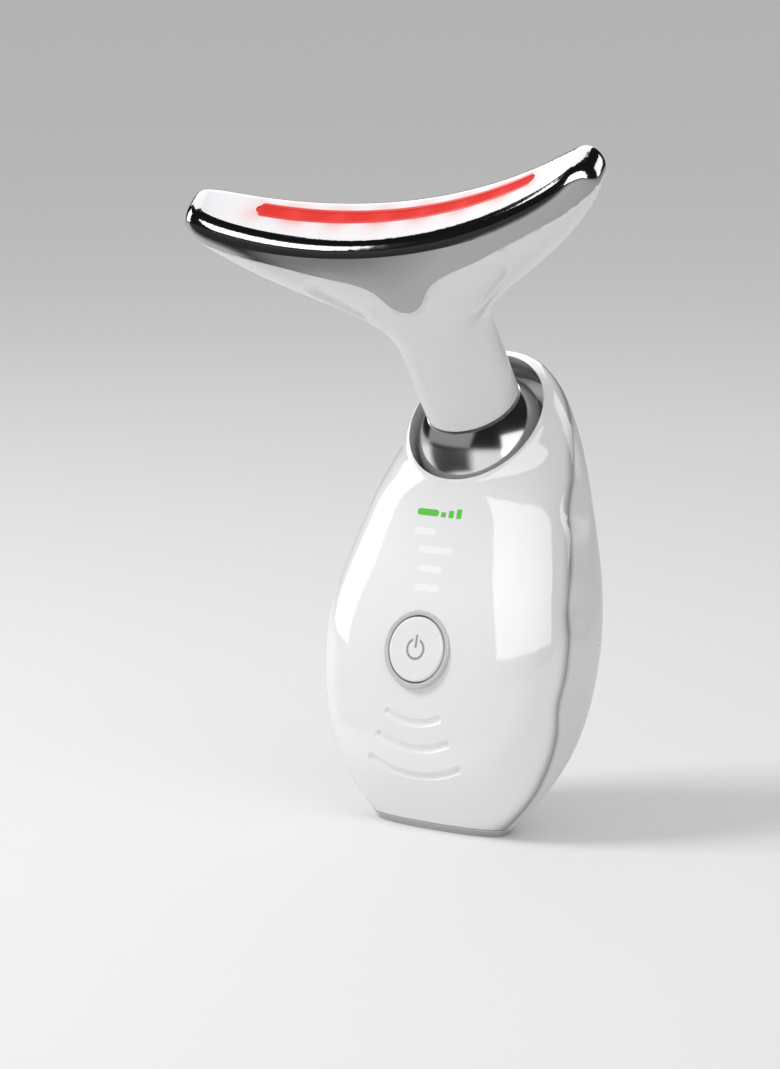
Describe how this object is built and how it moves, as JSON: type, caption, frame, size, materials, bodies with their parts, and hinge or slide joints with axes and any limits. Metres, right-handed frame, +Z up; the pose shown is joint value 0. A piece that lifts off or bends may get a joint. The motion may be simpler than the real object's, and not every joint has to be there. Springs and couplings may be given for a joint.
{
  "type": "face and neck massager",
  "caption": "Handheld face and neck massager: oval handle on a flat foot, tilting ball joint and a curved T-shaped head with a polished plate and a red light strip.",
  "frame": {"origin": "on the floor under the middle of the foot, where the charging socket opens", "axes": "+Z up from the floor, +X to the right of the button, +Y to the back"},
  "size_m": [0.0934, 0.0663, 0.151],
  "materials": {
    "shell_gloss": "white gloss",
    "shell_satin": "satin light grey",
    "head_white": "white satin gloss",
    "plate_chrome": "polished",
    "ball_chrome": "polished",
    "lens_red": "lit red diffuser",
    "light_green": "lit green",
    "light_white": "lit white",
    "button_white": "satin gloss",
    "ring_satin": "satin",
    "mark_grey": "printed",
    "inner_plastic": "moulded",
    "inner_dark": "moulded",
    "board_green": "laminate",
    "steel": "plain",
    "brass": "plain",
    "foil": "pouch foil",
    "film_amber": "film",
    "guide_clear": "clear",
    "pad_foam": "foam",
    "wire_red": "sleeve"
  },
  "bodies": {
    "handle": {"front_shell": "shell_gloss", "rear_shell": "shell_satin", "level_lights": "light_green", "mode_lights": "light_white", "button_ring": "ring_satin", "switch_body": "inner_dark", "ball_cup": "inner_plastic", "handle_wires": "wire_red", "cup_screws": "steel", "control_board": "board_green", "board_screws": "steel", "control_chip": "inner_dark", "power_inductor": "inner_dark", "board_capacitors": "film_amber", "indicator_lamps": "light_white", "light_guide": "guide_clear", "battery_pad": "pad_foam", "battery_cell": "foil", "battery_leads": "wire_red", "charging_socket": "steel", "charging_board": "board_green"},
    "button": {"power_button": "button_white", "power_mark": "mark_grey"},
    "plunger": {"switch_plunger": "inner_plastic"},
    "ball": {"joint_ball": "ball_chrome", "pivot_pin": "steel", "friction_washers": "inner_dark", "retaining_clip": "steel"},
    "head": {"head_shell": "head_white", "massage_plate": "plate_chrome", "light_strip_lens": "lens_red", "lamp_board": "board_green", "red_lamps": "lens_red", "lamp_board_screws": "steel", "heater_film": "film_amber", "heat_sensor": "inner_dark", "motor_can": "steel", "motor_holder": "inner_plastic", "head_wires": "wire_red"},
    "eccentric": {"motor_shaft": "steel", "eccentric_weight": "brass"}
  },
  "joints": [
    {"name": "button_press", "type": "slide", "parent": "handle", "child": "button", "axis": [0, 0.9703, -0.2419], "range_m": [0, 0.0005], "stiffness_N_per_m": 3000},
    {"name": "plunger_press", "type": "slide", "parent": "handle", "child": "plunger", "axis": [0, 0.9703, -0.2419], "range_m": [0, 0.0005]},
    {"name": "head_tilt", "type": "hinge", "parent": "handle", "child": "ball", "pos_m": [0, 0.01485, 0.08548], "axis": [1, 0, 0], "range_deg": [-15, 30]},
    {"name": "head_swivel", "type": "hinge", "parent": "ball", "child": "head", "pos_m": [0, 0.01485, 0.08548], "axis": [0, -0.5299, 0.848], "range_deg": [-59.5, 30.5]},
    {"name": "motor_spin", "type": "hinge", "parent": "head", "child": "eccentric", "pos_m": [0, 0.01485, 0.08548], "axis": [0, -0.5299, 0.848], "continuous": true}
  ],
  "couplings": [
    {"joint": "plunger_press", "follows": "button_press", "ratio": 1}
  ]
}
